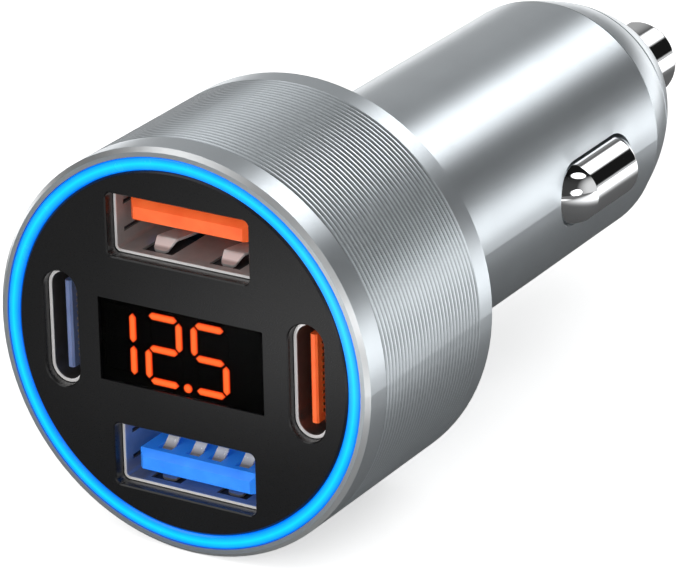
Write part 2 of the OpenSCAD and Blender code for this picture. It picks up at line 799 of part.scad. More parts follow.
// Round board on the head's step, which carries the ports, the display and the diodes
module port_board() {
    leg_gap = 0.3;
    color("#1f6b3a")
    difference() {
        turned(128) translate([0, board_front]) square([board_r, board_t]);
        at_posts() turned(32) translate([0, board_front - 1])
            square([screw_r + 3 * fit, board_t + 2]);
        for (x = [-board_tab_x, board_tab_x])
            translate([x - board_tab_w / 2 - leg_gap, board_front - 1, -board_t / 2 - 2 * fit])
                cube([board_tab_w + 2 * leg_gap, board_t + 2, board_t + 4 * fit]);
        at_pins() turned(24) translate([0, board_front - 1]) square([pin_r + 3 * fit, board_t + 2]);
        for (z = [upper_port_z, lower_port_z])
            wide_legs(z, leg_gap);
        translate([0, 0, upper_port_z]) wide_tails(leg_gap);
        translate([0, 0, lower_port_z]) mirror([0, 0, 1]) wide_tails(leg_gap);
        for (x = [left_port_x, right_port_x])
            small_legs(x, leg_gap);
    }
}

// Control chip behind the port board
module port_chip() {
    color("#26282b")
    translate([0, board_back + fit, 7]) rotate([-90, 0, 0]) chip([3.4, 3.4, 0.9], 4);
}

// Four screws through the port board into the frame's posts
module board_screws() {
    head_h = 0.9;
    thread_len = 2.6;
    color("#b9bcc0")
    at_posts() difference() {
        turned(32) union() {
            translate([0, board_back + fit]) square([screw_r + 0.5, head_h]);
            translate([0, board_front - thread_len])
                square([screw_r, board_t + thread_len + 2 * fit]);
        }
        for (turn = [0, 90])
            rotate([0, turn, 0]) translate([-screw_r, board_back + fit + head_h - 0.35, -0.12])
                cube([2 * screw_r, 1, 0.24]);
    }
}

// Moulded frame behind the face plate, with four posts to the port board
module port_frame() {
    gap = 2 * fit;
    post_hole = 3;
    color("#303236")
    difference() {
        union() {
            turned(128) translate([0, face + frame_depth]) square([frame_r, frame_t]);
            at_posts() turned(48) translate([0, face + frame_end - eps])
                square([post_r, board_front - fit - face - frame_end + eps]);
        }
        along_y(face, face + frame_end + 1) {
            translate([0, upper_port_z]) round_rect(wide_w + gap, wide_h + gap, wide_corner);
            translate([0, lower_port_z]) round_rect(wide_w + gap, wide_h + gap, wide_corner);
            translate([left_port_x, 0]) upright_slot(small_w + gap, small_h + gap);
            translate([right_port_x, 0]) upright_slot(small_w + gap, small_h + gap);
            square([module_w + gap, module_h + gap], center = true);
        }
        at_posts() turned(32) translate([0, board_front - fit - post_hole])
            square([screw_r + fit, post_hole + 1]);
    }
}

// Moulded ring round the face, with a light guide behind it that reaches to the diodes
module light_ring() {
    edge = 0.12;
    color("#22b4ff")
    turned() polygon([
        [ring_inner_r, face + edge], [ring_inner_r + edge, face],
        [ring_r - edge, face], [ring_r, face + edge],
        [ring_r, face + ring_depth], [guide_r, face + ring_depth],
        [guide_r, guide_end], [guide_inner_r, guide_end],
        [guide_inner_r, face + step_depth], [ring_inner_r, face + step_depth]]);
}

// One blue light diode on the port board, behind the light guide
module blue_led(i) {
    window = 0.2;
    color("#8fd3ff")
    rotate([0, 360 * (i - 0.5) / led_count, 0])
        translate([led_ring_r, board_front, 0]) union() {
            translate([-led_size[2] / 2, -led_size[1] + window, -led_size[0] / 2])
                cube([led_size[2], led_size[1] - window, led_size[0]]);
            translate([-led_size[2] / 2 + 0.15, -led_size[1], -led_size[0] / 2 + 0.3])
                cube([led_size[2] - 0.3, led_size[1], led_size[0] - 0.6]);
        }
}

// A hole through the face plate with a chamfered front edge. The child outline takes a margin.
module plate_hole(margin_low, margin_high) {
    along_y(face - 1, face + plate_t + 1) children(0);
    hull() {
        along_y(face - margin_low, face - margin_low + eps) children(1);
        along_y(face + margin_high - eps, face + margin_high) children(0);
    }
}

// Moulded black disc with the ports' and the display's holes
module face_plate() {
    grow = 2 * hole_chamfer;
    color("#232325")
    difference() {
        turned() polygon([[0, face], [plate_r - 0.15, face], [plate_r, face + 0.15],
                          [plate_r, face + plate_t], [0, face + plate_t]]);
        for (z = [upper_port_z, lower_port_z])
            translate([0, 0, z]) plate_hole(eps, hole_chamfer) {
                round_rect(wide_hole_w, wide_hole_h, wide_corner);
                round_rect(wide_hole_w + grow, wide_hole_h + grow, wide_corner + hole_chamfer);
            }
        for (x = [left_port_x, right_port_x])
            translate([x, 0, 0]) plate_hole(eps, hole_chamfer) {
                upright_slot(small_hole_w, small_hole_h);
                upright_slot(small_hole_w + grow, small_hole_h + grow);
            }
        along_y(face - 1, face + module_depth - fit)
            square([window_w + 2 * fit, window_h + 2 * fit], center = true);
        along_y(face + module_depth - 2 * fit, face + plate_t + 1)
            square([module_w + 4 * fit, module_h + 4 * fit], center = true);
    }
}

// Dark clear pane over the digits
module display_window() {
    color("#0a0a0c")
    along_y(face + fit, face + fit + window_t) square([window_w, window_h], center = true);
}

// Places of the display's pins
module at_pins() {
    for (i = [-2:2], z = [-pin_row_z, pin_row_z])
        translate([i * pin_pitch, 0, z]) children();
}

// Black display body with its pins
module display_module() {
    back = face + module_depth + module_len;
    color("#141416")
    union() {
        along_y(face + module_depth, back) square([module_w, module_h], center = true);
        at_pins() turned(24) translate([0, back - eps]) square([pin_r, board_back + 0.4 - back]);
    }
}

// One bar of a digit, lying level or standing, as an outline about its middle
module digit_bar(len, upright) {
    half = len / 2;
    t = bar_t / 2;
    rotate(upright ? 90 : 0)
        polygon([[-half, 0], [t - half, t], [half - t, t], [half, 0], [half - t, -t], [t - half, -t]]);
}

// The bars of one digit that are named in which, from the seven a to g
module digit(which) {
    level_len = digit_w - bar_gap;
    upright_len = digit_h / 2 - bar_gap;
    for (bar = which) {
        level = bar == "a" || bar == "d" || bar == "g";
        x = level ? 0 : ((bar == "b" || bar == "c") ? digit_w / 2 : -digit_w / 2);
        z = bar == "a" ? digit_h / 2 : bar == "d" ? -digit_h / 2 : bar == "g" ? 0
          : (bar == "b" || bar == "f") ? digit_h / 4 : -digit_h / 4;
        translate([x, z]) digit_bar(level ? level_len : upright_len, !level);
    }
}

// The three digits' bars, each digit's given as a list of letters
module digits(left, middle, right) {
    along_y(face + bar_front, face + module_depth) {
        translate([digit_x - digit_pitch, digit_z]) digit(left);
        translate([digit_x, digit_z]) digit(middle);
        translate([digit_x + digit_pitch, digit_z]) digit(right);
    }
}

// Bars that glow, with the point behind the middle digit
module lit_segments() {
    dot_r = 0.36;
    color("#ff6a2a") {
        digits(["b", "c"], ["a", "b", "g", "e", "d"], ["a", "f", "g", "c", "d"]);
        along_y(face + bar_front, face + module_depth)
            translate([digit_x + digit_pitch / 2, digit_z - digit_h / 2]) circle(dot_r, $fn = 32);
    }
}

// Bars that stay dark
module dark_segments() {
    color("#1c1a1a")
    digits(["a", "d", "e", "f", "g"], ["c", "f"], ["b", "e"]);
}

// A spring tab's outline of [y, height]: it climbs back to its root beyond a crest behind its tip
module tab_strip(from, to, start, rise, t) {
    crest = [[from, start], [from + 0.85 * tab_crest, start + 0.92 * rise],
             [from + tab_crest, start + rise], [from + 1.3 * tab_crest, start + 0.98 * rise], [to, start]];
    polygon(concat(crest, [for (i = [4:-1:0]) [crest[i][0], crest[i][1] + t]]));
}

// A strip of sheet that bows, as an outline of [y, height] between two distances.
// rise is the bow's height at its middle and start the height of both ends.
module bowed_strip(from, to, start, rise, t) {
    steps = 14;
    function height(u) = start + rise * (1 - cos(360 * u)) / 2;
    top = [for (i = [0:steps]) [from + (to - from) * i / steps, height(i / steps) + t]];
    bottom = [for (i = [steps:-1:0]) [from + (to - from) * i / steps, height(i / steps)]];
    polygon(concat(top, bottom));
}

// Solder legs of a wide port's shell, thickened by gap to cut their holes
module wide_legs(z, gap = 0) {
    leg_w = 1;
    for (x = [-1, 1], dz = [-1.3, 1.3])
        translate([x * (wide_w - wide_sheet) / 2 - wide_sheet / 2 - gap,
                   shell_back - eps, z + dz - leg_w / 2 - gap])
            cube([wide_sheet + 2 * gap, leg_end - shell_back + 2 * gap, leg_w + 2 * gap]);
}

// Folded steel shell of a wide port, with two spring tabs in its lower wall that bow by rise
module wide_shell(z, rise) {
    tab_front = face + wide_recess + tab_set_back;
    tab_back = tab_front + tab_len;
    floor_z = -wide_h / 2;
    side_slit = 0.35;
    tip_cut = 0.25;
    color("#c3bfc0")
    translate([0, 0, z]) union() {
        difference() {
            along_y(face + wide_recess, shell_back) difference() {
                round_rect(wide_w, wide_h, wide_corner);
                round_rect(wide_inner_w, wide_inner_h, wide_corner - wide_sheet);
            }
            for (x = [-tab_pitch / 2, tab_pitch / 2])
                translate([x - tab_w / 2 - tab_gap, tab_front - tab_gap, floor_z - 1])
                    cube([tab_w + 2 * tab_gap, tab_back - tab_front + tab_gap, 1 + wide_sheet + eps]);
            for (dz = [-1.1, 1.1])
                translate([-wide_w, tab_front - 0.2, dz - side_slit / 2])
                    cube([2 * wide_w, 4.4, side_slit]);
        }
        for (x = [-tab_pitch / 2, tab_pitch / 2])
            intersection() {
                along_x(x - tab_w / 2, x + tab_w / 2)
                    tab_strip(tab_front, tab_back + eps, floor_z, rise, wide_sheet);
                translate([x, 0, floor_z - 1])
                    linear_extrude(wide_h)
                        polygon([[tip_cut - tab_tip_w / 2, tab_front - eps],
                                 [tab_tip_w / 2 - tip_cut, tab_front - eps],
                                 [tab_tip_w / 2, tab_front + 0.6 * tip_cut], [tab_w / 2, tab_front + tab_crest],
                                 [tab_w / 2, tab_back + 1], [-tab_w / 2, tab_back + 1],
                                 [-tab_w / 2, tab_front + tab_crest], [-tab_tip_w / 2, tab_front + 0.6 * tip_cut]]);
            }
        translate([0, 0, -z]) wide_legs(z);
    }
}

// Moulded tongue of a wide port, with slots for the contacts in its lower side.
// near and far are the bevels of its front edge on the contacts' side and on the other one.
module wide_tongue(near, far) {
    front = face + wide_tongue_recess;
    bevel = 0.45;
    top = tongue_top;
    back = top + wide_tongue_t;
    slot_gap_w = 0.12;
    half = wide_tongue_w / 2;
    difference() {
        union() {
            intersection() {
                along_x(-half, half)
                    polygon([[front + far, back], [front, back - far], [front, top + near], [front + near, top],
                             [base_back - base_len + eps, top], [base_back - base_len + eps, back]]);
                translate([0, 0, top - 1]) linear_extrude(wide_tongue_t + 2)
                    polygon([[-half, front + bevel], [bevel - half, front], [half - bevel, front],
                             [half, front + bevel], [half, base_back], [-half, base_back]]);
            }
            along_y(base_back - base_len, base_back)
                round_rect(wide_inner_w - 2 * fit, wide_inner_h - 2 * fit, wide_corner - wide_sheet - fit);
        }
        for (x = wide_contact_x)
            translate([x - wide_contact_w / 2 - slot_gap_w, face + wide_slot_front, top - eps])
                cube([wide_contact_w + 2 * slot_gap_w, head_len, wide_slot_depth + eps]);
        for (x = wide_contact_x)
            translate([x - wide_contact_w / 2 - slot_gap_w, base_back - base_len, top - 1])
                cube([wide_contact_w + 2 * slot_gap_w, base_len + 1, 1 + wide_slot_depth]);
    }
}

// Four bowed contacts of a wide port, lying in the tongue's slots
module wide_contacts() {
    t = wide_contact_t;
    bow_end = contact_front + wide_contact_bow;
    for (x = wide_contact_x)
        along_x(x - wide_contact_w / 2, x + wide_contact_w / 2) {
            mirror([0, 1])
                bowed_strip(contact_front, bow_end, -contact_seat, wide_slot_depth + 0.55, t);
            translate([bow_end - eps, contact_seat - t]) square([leg_end - bow_end, t]);
        }
}

// Holes in the port board for the tails of a wide port's contacts
module wide_tails(gap) {
    for (x = wide_contact_x)
        translate([x - wide_contact_w / 2 - gap, board_front - 1, contact_seat - wide_contact_t - gap])
            cube([wide_contact_w + 2 * gap, board_t + 2, wide_contact_t + 2 * gap]);
}

// Lower wide port's pieces stand upside down on the upper port's, apart from the shell
module upper_port_shell() { wide_shell(upper_port_z, tab_rise); }
module lower_port_shell() { wide_shell(lower_port_z, near_tab_rise); }

module upper_port_tongue() {
    color("#ff6a2c") translate([0, 0, upper_port_z]) wide_tongue(0.08, wide_bevel);
}

module lower_port_tongue() {
    color("#1f6df0") translate([0, 0, lower_port_z]) mirror([0, 0, 1]) wide_tongue(wide_bevel, 0.08);
}

module upper_port_contacts() {
    color("#d6cfc0") translate([0, 0, upper_port_z]) wide_contacts();
}

module lower_port_contacts() {
    color("#d6cfc0") translate([0, 0, lower_port_z]) mirror([0, 0, 1]) wide_contacts();
}

// Solder legs of a small port's shell, thickened by gap to cut their holes
module small_legs(x, gap = 0) {
    leg_w = 1;
    for (dx = [-1, 1], z = [-2.2, 2.2])
        translate([x + dx * (small_w - small_sheet) / 2 - small_sheet / 2 - gap,
                   shell_back - eps, z - leg_w / 2 - gap])
            cube([small_sheet + 2 * gap, leg_end - shell_back + 2 * gap, leg_w + 2 * gap]);
}

// Drawn steel shell of a small port
module small_shell(x) {
    color("#b5b4b6") union() {
        translate([x, 0, 0]) along_y(face + small_recess, shell_back) difference() {
            upright_slot(small_w, small_h);
            upright_slot(small_w - 2 * small_sheet, small_h - 2 * small_sheet);
        }
        small_legs(x);
    }
}

// Moulded tongue of a small port on its base
module small_tongue() {
    bevel = 0.15;
    half = small_tongue_t / 2;
    front = face + small_tongue_recess;
    base_y = base_back - small_base_len;
    union() {
        translate([0, 0, -small_tongue_h / 2]) linear_extrude(small_tongue_h)
            polygon([[-half + bevel, front], [half - bevel, front], [half, front + bevel],
                     [half, base_y + eps], [-half, base_y + eps], [-half, front + bevel]]);
        along_y(base_y, base_back)
            upright_slot(small_w - 2 * small_sheet - 2 * fit, small_h - 2 * small_sheet - 2 * fit);
    }
}

// Twelve contact pads on each side of a small port's tongue
module small_pads() {
    pad_w = 0.25;
    pad_t = 0.06;
    pad_from = face + small_tongue_recess + 0.7;
    pad_to = pad_from + 3.6;
    for (side = [-1, 1], i = [0:11])
        translate([side * (small_tongue_t / 2 + pad_t / 2) - pad_t / 2, pad_from,
                   (i - 5.5) * pad_pitch - pad_w / 2])
            cube([pad_t, pad_to - pad_from, pad_w]);
}

module left_port_shell() { small_shell(left_port_x); }
module right_port_shell() { small_shell(right_port_x); }

module left_port_tongue() {
    color("#6d7fb0") translate([left_port_x, 0, 0]) small_tongue();
}

module right_port_tongue() {
    color("#ff6a2c") translate([right_port_x, 0, 0]) small_tongue();
}

module left_port_pads() {
    color("#d8c184") translate([left_port_x, 0, 0]) small_pads();
}

module right_port_pads() {
    color("#d8c184") translate([right_port_x, 0, 0]) small_pads();
}

housing();
nose_cap();
tip_insulator();
centre_contact();
tip_spring();
tip_terminal();
contact_carrier();
ground_contact(1);  // ground_contact_right
ground_contact(-1);  // ground_contact_left
ground_spring(1);  // ground_spring_right
ground_spring(-1);  // ground_spring_left
ground_terminal(1);  // ground_terminal_right
ground_terminal(-1);  // ground_terminal_left
main_board();
inductor();
input_capacitor();
output_capacitor();
power_chip_large();
power_chip_small();
port_board();
port_chip();
board_screws();
port_frame();
light_ring();
blue_led(1);  // blue_led_1
blue_led(2);  // blue_led_2
blue_led(3);  // blue_led_3
blue_led(4);  // blue_led_4
blue_led(5);  // blue_led_5
blue_led(6);  // blue_led_6
blue_led(7);  // blue_led_7
blue_led(8);  // blue_led_8
face_plate();
display_window();
display_module();
lit_segments();
dark_segments();
upper_port_shell();
upper_port_tongue();
upper_port_contacts();
lower_port_shell();
lower_port_tongue();
lower_port_contacts();
left_port_shell();
left_port_tongue();
left_port_pads();
right_port_shell();
right_port_tongue();
right_port_pads();
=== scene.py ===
import math

import bmesh
import bpy
from mathutils import Matrix, Vector


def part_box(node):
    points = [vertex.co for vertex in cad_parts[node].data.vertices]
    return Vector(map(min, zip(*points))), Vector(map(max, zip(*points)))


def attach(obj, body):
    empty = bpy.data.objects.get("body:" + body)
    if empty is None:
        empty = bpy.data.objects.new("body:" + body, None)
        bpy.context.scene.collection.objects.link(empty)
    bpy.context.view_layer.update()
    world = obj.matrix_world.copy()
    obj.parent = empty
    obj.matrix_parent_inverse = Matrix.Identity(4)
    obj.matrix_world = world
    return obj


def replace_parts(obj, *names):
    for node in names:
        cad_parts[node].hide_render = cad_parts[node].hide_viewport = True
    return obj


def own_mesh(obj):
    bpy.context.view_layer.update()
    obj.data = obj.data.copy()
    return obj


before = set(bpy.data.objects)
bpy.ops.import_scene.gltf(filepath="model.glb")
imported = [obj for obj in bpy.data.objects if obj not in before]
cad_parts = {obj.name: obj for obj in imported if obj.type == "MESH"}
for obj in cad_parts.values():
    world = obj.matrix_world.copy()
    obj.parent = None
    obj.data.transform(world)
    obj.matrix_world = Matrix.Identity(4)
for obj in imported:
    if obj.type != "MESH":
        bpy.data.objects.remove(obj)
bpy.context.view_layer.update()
MM = 0.001

# Camera
# It stands in front of the face, to its right and above, at the photograph's angle and distance,
# with a long lens, and it is turned a little about its own line of sight.
camera_azimuth = math.radians(31.5073)
camera_height_angle = math.radians(22.6464)
camera_roll = -0.0211366
back = Vector((
    math.sin(camera_azimuth) * math.cos(camera_height_angle),
    -math.cos(camera_azimuth) * math.cos(camera_height_angle),
    math.sin(camera_height_angle),
))
level_right = (-back).cross(Vector((0, 0, 1))).normalized()
level_up = level_right.cross(-back)
right = level_right * math.cos(camera_roll) + level_up * math.sin(camera_roll)
up = level_up * math.cos(camera_roll) - level_right * math.sin(camera_roll)
camera_data = bpy.data.cameras.new("camera")
camera_data.sensor_fit = "HORIZONTAL"
camera_data.sensor_width = 36
camera_data.lens = 247.12
camera_data.clip_start = 0.02
camera_data.clip_end = 50
camera = bpy.data.objects.new("camera", camera_data)
bpy.context.scene.collection.objects.link(camera)
camera_place = Matrix.Translation((0.178632, -0.287203, 0.139311))
camera.matrix_world = camera_place @ Matrix((right, up, back)).transposed().to_4x4()
bpy.context.scene.camera = camera

# Housing and nose cap
# Head and barrel are turned from one aluminium bar, and the nose cap screws into the barrel's end.
# Both are blasted and anodised to a satin grey, and painted shade darkens the grooves. The edge round
# the face is cut bright after that.


def new_finish(name, **sockets):
    """A finish with a Principled shader whose constant sockets are set by name."""
    finish = bpy.data.materials.new(name)
    finish.use_nodes = True
    shader = finish.node_tree.nodes["Principled BSDF"]
    for socket, value in sockets.items():
        shader.inputs[socket.replace("_", " ")].default_value = value
    return finish, finish.node_tree, shader


def add(tree, kind, inputs=None, **settings):
    """A shader node with its settings, and with its inputs set or linked."""
    made = tree.nodes.new("ShaderNode" + kind)
    for key, value in settings.items():
        setattr(made, key, value)
    for socket, value in (inputs or {}).items():
        if isinstance(value, bpy.types.NodeSocket):
            tree.links.new(value, made.inputs[socket])
        else:
            made.inputs[socket].default_value = value
    return made


def maths(tree, operation, *values, **settings):
    """What a Math node makes of one or two values."""
    return add(tree, "Math", dict(enumerate(values)), operation=operation, **settings).outputs[0]


def vector_maths(tree, operation, *vectors):
    """What a Vector Math node makes of one or two vectors, as a number where it gives one."""
    made = add(tree, "VectorMath", dict(enumerate(vectors)), operation=operation)
    return made.outputs["Value" if operation in ("LENGTH", "DISTANCE", "DOT_PRODUCT") else "Vector"]


def own_place(tree):
    """The place of each point in the object's own space."""
    return add(tree, "TexCoord").outputs["Object"]


def own_xyz(tree):
    """The same place as its X, Y and Z."""
    return add(tree, "SeparateXYZ", {0: own_place(tree)}).outputs


def off_axis(tree):
    """The distance of each point from the plug's axis."""
    xyz = own_xyz(tree)
    flat = add(tree, "CombineXYZ", {"X": xyz["X"], "Z": xyz["Z"]}).outputs[0]
    return vector_maths(tree, "LENGTH", flat)


def scaled(tree, scale):
    """The object's own space, scaled for a pattern."""
    return add(tree, "Mapping", {"Vector": own_place(tree), "Scale": scale}).outputs[0]


def grain(tree, size, stretch=(1, 1, 1), detail=3.0):
    """Noise in the object's own space. size is its coarseness in mm, and stretch widens it."""
    space = scaled(tree, [1 / (size * MM * s) for s in stretch])
    return add(tree, "TexNoise", {"Vector": space, "Scale": 1.0, "Detail": detail}).outputs[0]


def spread(tree, value, low, high, start=0.3, end=0.7, soft=False):
    """value, taken from start to end, as a number from low to high."""
    edges = {0: value, 1: start, 2: end, 3: low, 4: high}
    kind = "SMOOTHSTEP" if soft else "LINEAR"
    return add(tree, "MapRange", edges, interpolation_type=kind).outputs[0]


def shades(tree, value, *stops):
    """A colour for value, from stops of (place, red, green, blue) in linear light."""
    made = add(tree, "ValToRGB", {0: value})
    elements = made.color_ramp.elements
    while len(elements) < len(stops):
        elements.new(0.5)
    for element, (place, *colour) in zip(elements, stops):
        element.position = place
        element.color = (*colour, 1)
    return made.outputs[0]


def mixed(tree, share, under, over):
    """The colour under, and the colour over where share is 1."""
    return add(tree, "MixRGB", {"Fac": share, "Color1": under, "Color2": over}).outputs[0]


def relief(tree, shader, height, depth):
    """Bump of that depth in mm on the shader."""
    made = add(tree, "Bump", {"Height": height, "Distance": depth * MM, "Strength": 1.0})
    tree.links.new(made.outputs[0], shader.inputs["Normal"])


def feed(tree, shader, **sockets):
    """Links node outputs to the shader's sockets by name."""
    for socket, value in sockets.items():
        tree.links.new(value, shader.inputs[socket.replace("_", " ")])


def dress(finish, *names):
    """Gives CAD nodes their finish."""
    for name in names:
        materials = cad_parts[name].data.materials
        materials.clear()
        materials.append(finish)


aluminium, tree, shader = new_finish("satin_turned_aluminium", Anisotropic=0.3)
blasting = grain(tree, 0.2)
cloud = grain(tree, 6.0)
head_radius, groove_depth, edge_cut, slack = 16.5, 0.18, 0.35, 0.01
groove_floor = head_radius - groove_depth
face_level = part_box("housing")[0].y
radius, along = off_axis(tree), own_xyz(tree)["Y"]
beyond_cut = maths(tree, "GREATER_THAN", radius, (head_radius - edge_cut + slack) * MM)
before_cut = maths(tree, "LESS_THAN", along, face_level + (edge_cut - slack) * MM)
bright_cut = maths(tree, "MULTIPLY", beyond_cut, before_cut)
on_head = maths(tree, "GREATER_THAN", radius, (groove_floor - slack) * MM)
# Painted shade: the grooves are mixed towards a dark grey, darkest at their floors.
groove_painted_shade = spread(tree, radius, 1.0, 0.0, groove_floor * MM, (head_radius - 3 * slack) * MM)
groove_painted_shade = maths(tree, "MULTIPLY", groove_painted_shade, on_head)
metal = shades(tree, cloud, (0.3, 0.62, 0.665, 0.70), (0.7, 0.66, 0.71, 0.745))
metal = mixed(tree, groove_painted_shade, metal, (0.22, 0.24, 0.26, 1))
metal = mixed(tree, bright_cut, metal, (0.80, 0.82, 0.83, 1))
feed(
    tree, shader,
    Base_Color=metal,
    Metallic=spread(tree, bright_cut, 0.90, 0.88, 0.0, 1.0),
    Roughness=spread(tree, blasting, 0.28, 0.34),
    Tangent=add(tree, "Tangent", direction_type="RADIAL", axis="Y").outputs[0],
)
relief(tree, shader, blasting, 0.0012)
dress(aluminium, "housing", "nose_cap")

# Bush in the nose
# A moulded black ring between the nose cap and the tip contact keeps the two apart.
# It has a fine matt skin from its mould.
black_moulding, tree, shader = new_finish(
    "black_moulded_bush", Base_Color=(0.012, 0.012, 0.013, 1), IOR=1.49,
)
skin = grain(tree, 0.15)
feed(tree, shader, Roughness=spread(tree, skin, 0.4, 0.55))
relief(tree, shader, skin, 0.006)
dress(black_moulding, "tip_insulator")

# Tip contact
# A pin turned from brass, nickel and chrome plated to a mirror, with faint wiping marks.
# It slides in the bush and has a flange inside, on which the tip spring pushes.
chrome, tree, shader = new_finish("bright_chrome", Metallic=1.0, Base_Color=(0.86, 0.87, 0.88, 1))
wiping = grain(tree, 0.35, (1, 12, 1))
feed(tree, shader, Roughness=spread(tree, wiping, 0.035, 0.08))
relief(tree, shader, grain(tree, 2.5), 0.004)
dress(chrome, "centre_contact")

# Side contacts
# Each is pressed from brass strip into a half-round bar with two domed ends, and plated like the tip.
# It slides in a slot of the barrel, and its flange lies under the barrel's wall, hollow for the spring.
bar_radius, bar_axis = 2.6, 9.9
front_crease, back_crease = 24.45, 31.35
bar_middle = (front_crease + back_crease) / 2
half_run = bar_middle - front_crease
crease_step, next_step, bend_width = 0.12, 0.6, 0.06
dome_fall = math.tan(math.radians(25))
flange_top, flange_foot = 8.6, 7.65
flange_half, flange_reach = 3.25, 6.6
hollow_half, hollow_reach, hollow_ceiling = 1.95, 5.0, 10.97


def verts_of(made):
    """The vertices among what an operator made."""
    return [v for v in made if isinstance(v, bmesh.types.BMVert)]


def edges_of(made):
    """The edges among what an operator made."""
    return [e for e in made if isinstance(e, bmesh.types.BMEdge)]


def object_of(name, bm):
    """The finished mesh as an object in the scene."""
    mesh = bpy.data.meshes.new(name)
    bm.to_mesh(mesh)
    bm.free()
    made = bpy.data.objects.new(name, mesh)
    bpy.context.scene.collection.objects.link(made)
    return made


def side_contact(name, body, side):
    """A hollow half-round bar with domed ends and a flange, on the +X side for side 1."""
    bm = bmesh.new()
    foot = bm.verts.new((0, 0, -bar_radius))
    bmesh.ops.spin(bm, geom=[foot], axis=(0, 1, 0), angle=-math.pi, steps=48)
    crease = list(bm.edges)
    bmesh.ops.spin(bm, geom=bm.verts[:] + bm.edges[:], axis=(0, 0, 1), angle=-math.pi / 2, steps=32)
    for vert in bm.verts:
        turned = math.atan2(-vert.co.y, vert.co.x) if vert.co.xy.length > 1e-6 else 0.0
        pull = 1 / math.sqrt(1 + dome_fall * math.sin(2 * turned))
        vert.co.x *= pull
        vert.co.y *= pull
    run = crease
    for step in (crease_step, next_step, half_run - crease_step - next_step):
        made = bmesh.ops.extrude_edge_only(bm, edges=run)["geom"]
        bmesh.ops.translate(bm, verts=verts_of(made), vec=(0, step, 0))
        run = [e for e in edges_of(made) if abs(e.verts[0].co.y - e.verts[1].co.y) < 1e-6]
    bmesh.ops.remove_doubles(bm, verts=bm.verts, dist=1e-4)
    bmesh.ops.translate(bm, verts=bm.verts, vec=(bar_axis, -half_run, 0))
    bmesh.ops.mirror(bm, geom=bm.verts[:] + bm.edges[:] + bm.faces[:], axis="Y", merge_dist=1e-4)
    bend_foot = bar_axis + 0.2 * bar_radius
    bends = [
        e for e in bm.edges
        if all(abs(abs(v.co.y) - half_run) < 1e-4 and v.co.x > bend_foot for v in e.verts)
    ]
    bmesh.ops.bevel(
        bm, geom=bends, offset=bend_width, offset_type="OFFSET", segments=3, profile=0.5,
        affect="EDGES", material=-1, clamp_overlap=True,
    )
    outline = [e for e in bm.edges if e.is_boundary]
    reach = half_run + bar_radius
    level, width, length = bar_axis, bar_radius, reach
    for next_level, next_width, next_length in (
        (flange_top, bar_radius, reach), (flange_top, flange_half, flange_reach),
        (flange_foot, flange_half, flange_reach), (flange_foot, hollow_half, hollow_reach),
        (hollow_ceiling, hollow_half, hollow_reach),
    ):
        made = bmesh.ops.extrude_edge_only(bm, edges=outline)["geom"]
        corners = verts_of(made)
        bmesh.ops.scale(bm, verts=corners, vec=(1, next_length / length, next_width / width))
        bmesh.ops.translate(bm, verts=corners, vec=(next_level - level, 0, 0))
        outline = [e for e in edges_of(made) if set(e.verts) <= set(corners)]
        level, width, length = next_level, next_width, next_length
    bmesh.ops.contextual_create(bm, geom=outline)
    bmesh.ops.translate(bm, verts=bm.verts, vec=(0, bar_middle, 0))
    bmesh.ops.scale(bm, verts=bm.verts, vec=(side * MM, MM, MM))
    bmesh.ops.recalc_face_normals(bm, faces=bm.faces)
    for face in bm.faces:
        face.smooth = True
    bar = object_of(name, bm)
    bar.data.set_sharp_from_angle(angle=math.radians(40))
    bar.data.materials.append(chrome)
    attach(bar, body)
    return bar


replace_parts(side_contact("right_contact_bar", "right_contact", 1), "ground_contact_right")
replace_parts(side_contact("left_contact_bar", "left_contact", -1), "ground_contact_left")

# Springs behind the contacts
# Coiled from hard-drawn steel wire. The last turn at each end lies closed on its seat.


def coil(name, axis, seat, length, middle_radius, wire_radius, turns):
    """A compression spring from seat along axis, in mm, whose first and last turns are closed."""
    bm = bmesh.new()
    upright = Matrix.Rotation(math.pi / 2, 4, "X")
    start = Matrix.Translation((middle_radius * MM, 0, wire_radius * MM)) @ upright
    bmesh.ops.create_circle(bm, segments=14, radius=wire_radius * MM, matrix=start)
    last = bm.verts[:] + bm.edges[:]
    steps, play = 32, 1.04
    closed = 2 * wire_radius * play
    climb = length - 2 * wire_radius - 2 * closed
    for count, rise in ((1, closed), (turns - 2, climb), (1, closed)):
        total = int(count * steps)
        last = bmesh.ops.spin(
            bm, geom=last, axis=(0, 0, 1), angle=2 * math.pi * count, steps=total,
            dvec=(0, 0, rise * MM / total),
        )["geom_last"]
    bmesh.ops.remove_doubles(bm, verts=bm.verts, dist=1e-7)
    bmesh.ops.holes_fill(bm, edges=[e for e in bm.edges if e.is_boundary], sides=0)
    bmesh.ops.recalc_face_normals(bm, faces=bm.faces)
    turn = Vector((0, 0, 1)).rotation_difference(Vector(axis)).to_matrix().to_4x4()
    bm.transform(Matrix.Translation(Vector(seat) * MM) @ turn)
    for face in bm.faces:
        face.smooth = len(face.verts) == 4
    return object_of(name, bm)


wire, tree, shader = new_finish("drawn_spring_wire", Metallic=1.0, Base_Color=(0.50, 0.50, 0.51, 1))
drawing = grain(tree, 0.05)
feed(tree, shader, Roughness=spread(tree, drawing, 0.22, 0.38))
relief(tree, shader, drawing, 0.002)
tip_coil, side_coil = (16.0, 2.6, 0.25, 9), (5.68, 1.5, 0.2, 5)
springs = {
    "tip_spring": ((0, 1, 0), (0, 26.3, 0), tip_coil, "tip_contact_press", 0.781),
    "ground_spring_right": ((1, 0, 0), (5.288, 29.175, 0), side_coil, "right_contact_press", 0.648),
    "ground_spring_left": ((-1, 0, 0), (-5.288, 29.175, 0), side_coil, "left_contact_press", 0.648),
}
for node, (axis, seat, sizes, joint, keep) in springs.items():
    spring = coil(node + "_coil", axis, seat, *sizes)
    spring.data.materials.append(wire)
    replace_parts(spring, node)
    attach(spring, "plug")
    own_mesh(spring)

